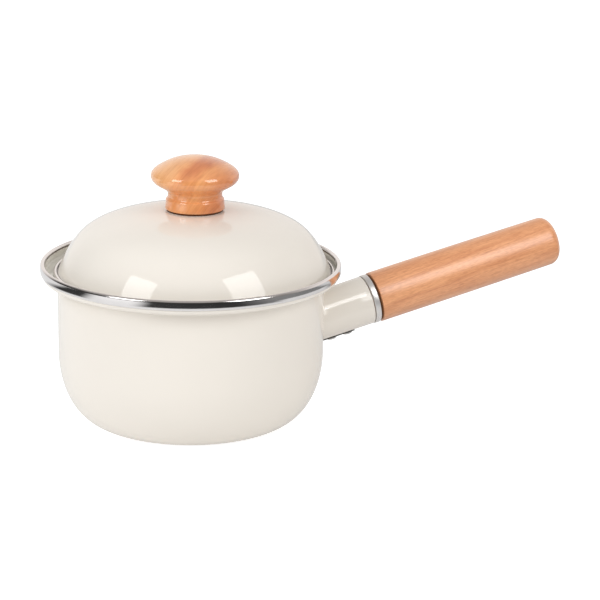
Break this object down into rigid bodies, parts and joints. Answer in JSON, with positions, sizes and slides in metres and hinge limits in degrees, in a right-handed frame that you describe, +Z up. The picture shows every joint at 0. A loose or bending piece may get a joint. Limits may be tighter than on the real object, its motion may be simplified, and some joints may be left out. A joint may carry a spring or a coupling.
{
  "type": "enamel saucepan",
  "caption": "Enamelled steel saucepan with a rounded pot, steel rim band, loose domed lid with a turned wooden knob, and a tubular socket carrying a round wooden grip.",
  "frame": {"origin": "centre of the flat base, on the surface that the pan stands on", "axes": "+Z up, along the pot's axis; +X towards the handle"},
  "size_m": [0.3125, 0.17, 0.1509],
  "materials": {
    "enamel": "glossy cream vitreous enamel on steel",
    "polished_steel": "polished stainless steel",
    "plain_steel": "plain steel",
    "dark_steel": "darkened steel",
    "dark_rubber": "dark brown, matt",
    "grip_wood": "satin lacquered beech, fine straight grain",
    "knob_wood": "glossy lacquered beech",
    "brass": "turned brass"
  },
  "bodies": {
    "pot": {"pot_shell": "enamel", "pot_rim_band": "polished_steel", "handle_bracket": "plain_steel", "handle_rod": "plain_steel", "handle_socket": "enamel", "clamp_plate": "dark_steel", "clamp_screw_rear": "polished_steel", "clamp_screw_front": "polished_steel", "handle_ferrule": "polished_steel", "spacer_ring": "dark_rubber", "handle_grip": "grip_wood"},
    "lid": {"lid_shell": "enamel", "lid_rim_band": "polished_steel", "knob_gasket": "dark_rubber", "lid_knob": "knob_wood", "knob_insert": "brass", "knob_washer": "plain_steel", "knob_screw": "plain_steel"}
  },
  "joints": [
    {"name": "lid_lift", "type": "slide", "parent": "pot", "child": "lid", "axis": [0, 0, 1], "range_m": [0, 0.12]}
  ]
}
